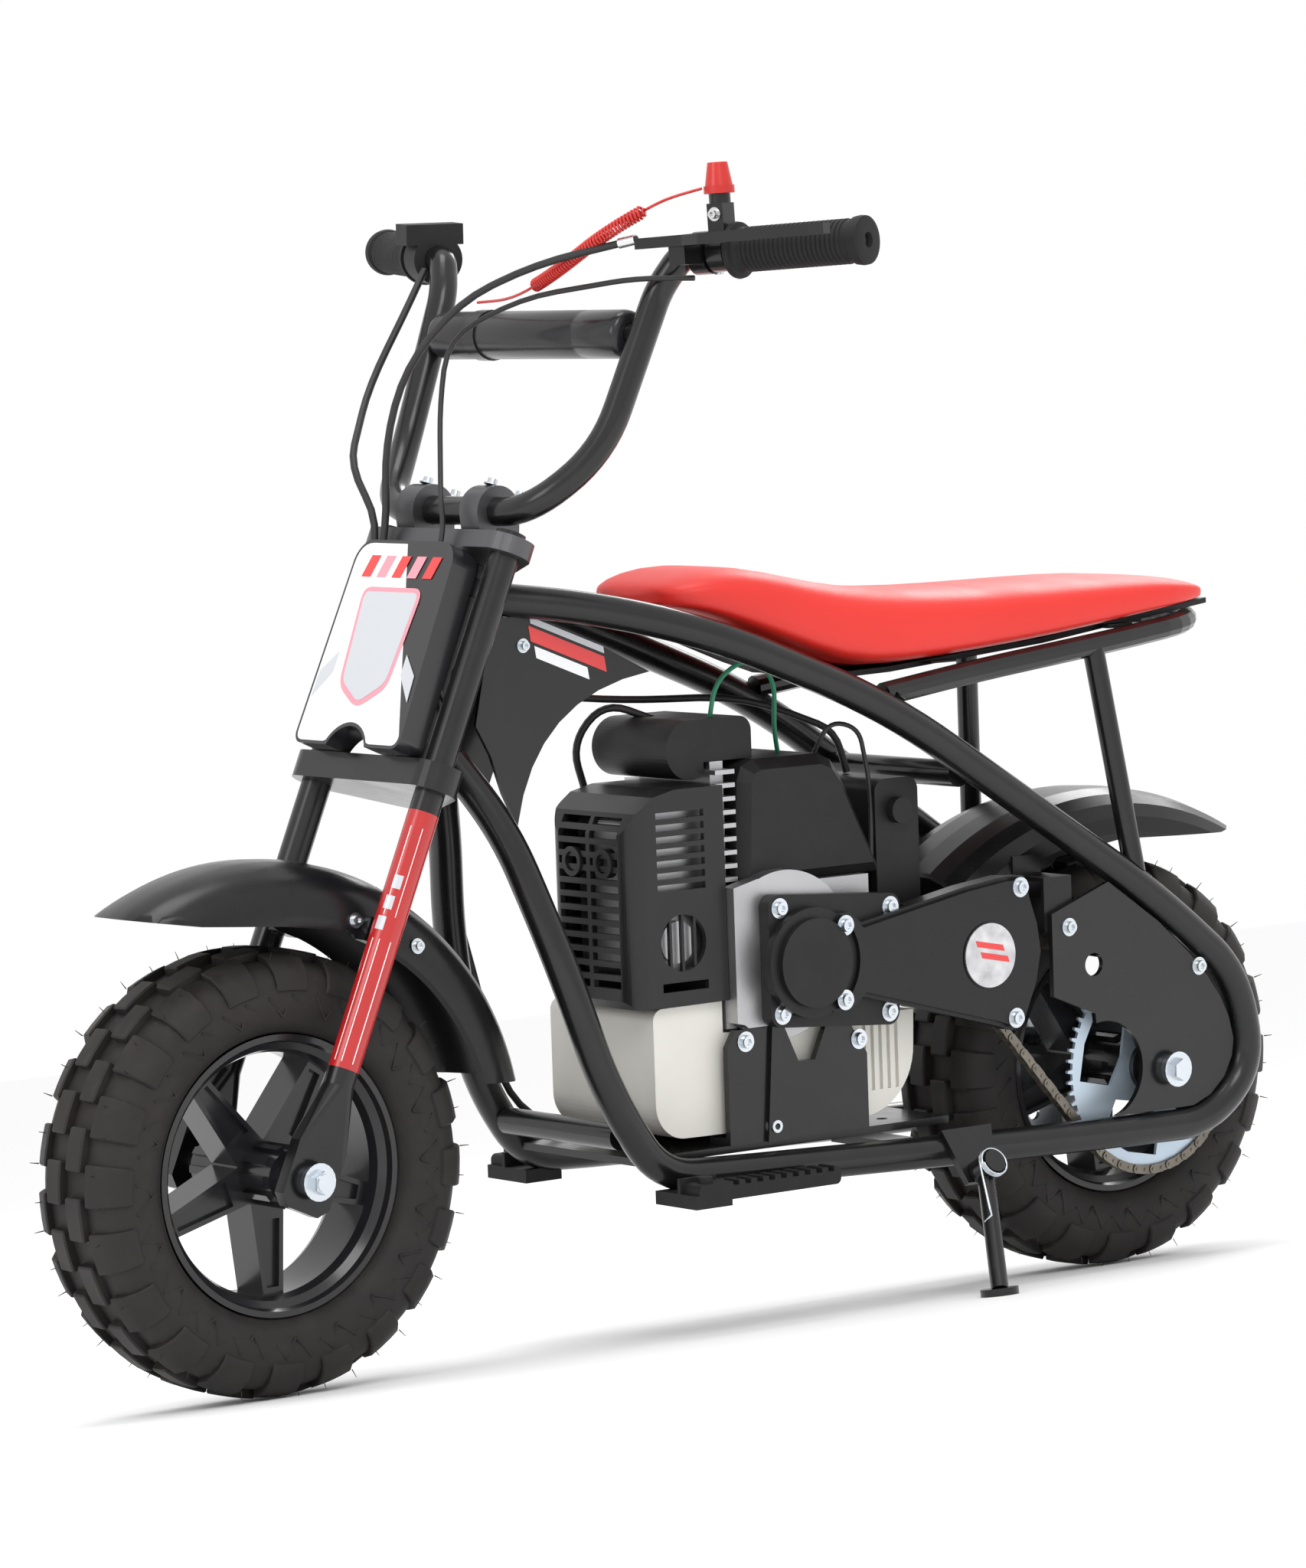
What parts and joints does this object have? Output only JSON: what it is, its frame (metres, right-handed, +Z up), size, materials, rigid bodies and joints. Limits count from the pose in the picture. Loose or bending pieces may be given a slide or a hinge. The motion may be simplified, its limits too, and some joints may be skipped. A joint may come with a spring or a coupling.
{
  "type": "minibike",
  "caption": "Small knobby-tyred minibike with looped tube frame, flat seat, high handlebar with pad, number plate, small engine and chain drive, on its side stand.",
  "frame": {"origin": "centre of the bounding box's underside, on the ground", "axes": "+X forward, +Y to the rider's left, +Z up; the bike leans 8 degrees to +Y on its side stand"},
  "size_m": [0.998, 0.5475, 0.776],
  "materials": {
    "frame_paint": "gloss black",
    "engine_alloy": "cast",
    "zinc": "zinc plated",
    "shroud_plastic": "moulded black",
    "guard_steel": "matt black",
    "tank_plastic": "translucent off-white",
    "fender_plastic": "gloss black",
    "seat_vinyl": "red vinyl",
    "plate_plastic": null,
    "black_rubber": "ribbed",
    "tyre_rubber": "knobby",
    "rim_alloy": "gloss black",
    "foam_vinyl": "gloss black vinyl",
    "red_plastic": "red",
    "cable_rubber": "sleeve"
  },
  "bodies": {
    "frame": {"frame_loop_left": "frame_paint", "frame_loop_right": "frame_paint", "head_tube": "frame_paint", "cross_tubes": "frame_paint", "gusset_panels": "frame_paint", "seat_rail": "frame_paint", "engine_plate": "frame_paint", "mount_bracket": "frame_paint", "engine_block": "engine_alloy", "cooling_shroud": "shroud_plastic", "top_cover": "shroud_plastic", "muffler": "engine_alloy", "muffler_guard": "guard_steel", "fuel_tank": "tank_plastic", "tank_cap": "shroud_plastic", "recoil_starter": "shroud_plastic", "air_filter": "shroud_plastic", "drive_cover": "fender_plastic", "clutch_housing": "shroud_plastic", "drive_sprocket": "zinc", "chain": "zinc", "dropout_plates": "frame_paint", "rear_axle": "zinc", "brake_caliper": "engine_alloy", "rear_fender": "fender_plastic", "seat_pan": "shroud_plastic", "seat_cushion": "seat_vinyl", "foot_peg_left": "black_rubber", "foot_peg_right": "black_rubber", "cable_run": "cable_rubber", "stand_bracket": "frame_paint"},
    "fork": {"fork_leg_left": "frame_paint", "fork_leg_right": "frame_paint", "lower_clamp": "frame_paint", "upper_clamp": "zinc", "front_axle": "zinc", "front_fender": "fender_plastic", "number_plate": "plate_plastic", "handlebar": "frame_paint", "bar_pad": "foam_vinyl", "grip_left": "black_rubber", "grip_right": "black_rubber", "brake_lever": "frame_paint", "kill_switch": "frame_paint", "kill_cap": "red_plastic", "throttle_housing": "black_rubber", "brake_cable": "cable_rubber", "throttle_cable": "cable_rubber", "kill_wire": "cable_rubber", "kill_tether": "red_plastic"},
    "front_wheel": {"front_tyre": "tyre_rubber", "front_rim": "rim_alloy"},
    "rear_wheel": {"rear_tyre": "tyre_rubber", "rear_rim": "rim_alloy", "rear_sprocket": "zinc", "brake_disc": "zinc"},
    "side_stand": {"side_stand": "frame_paint"}
  },
  "joints": [
    {"name": "steering", "type": "hinge", "parent": "frame", "child": "fork", "pos_m": [0.19121, -0.04402, 0.44939], "axis": [-0.4043, 0.1273, 0.9057], "range_deg": [-32, 32]},
    {"name": "front_wheel_spin", "type": "hinge", "parent": "fork", "child": "front_wheel", "pos_m": [0.354, -0.08667, 0.14598], "axis": [0, 0.9903, -0.1392], "continuous": true},
    {"name": "rear_wheel_spin", "type": "hinge", "parent": "frame", "child": "rear_wheel", "pos_m": [-0.354, -0.08667, 0.14598], "axis": [0, 0.9903, -0.1392], "continuous": true},
    {"name": "side_stand_fold", "type": "hinge", "parent": "frame", "child": "side_stand", "pos_m": [-0.166, 0.0177, 0.08385], "axis": [0, 0.9249, 0.3802], "range_deg": [0, 107.5]}
  ]
}
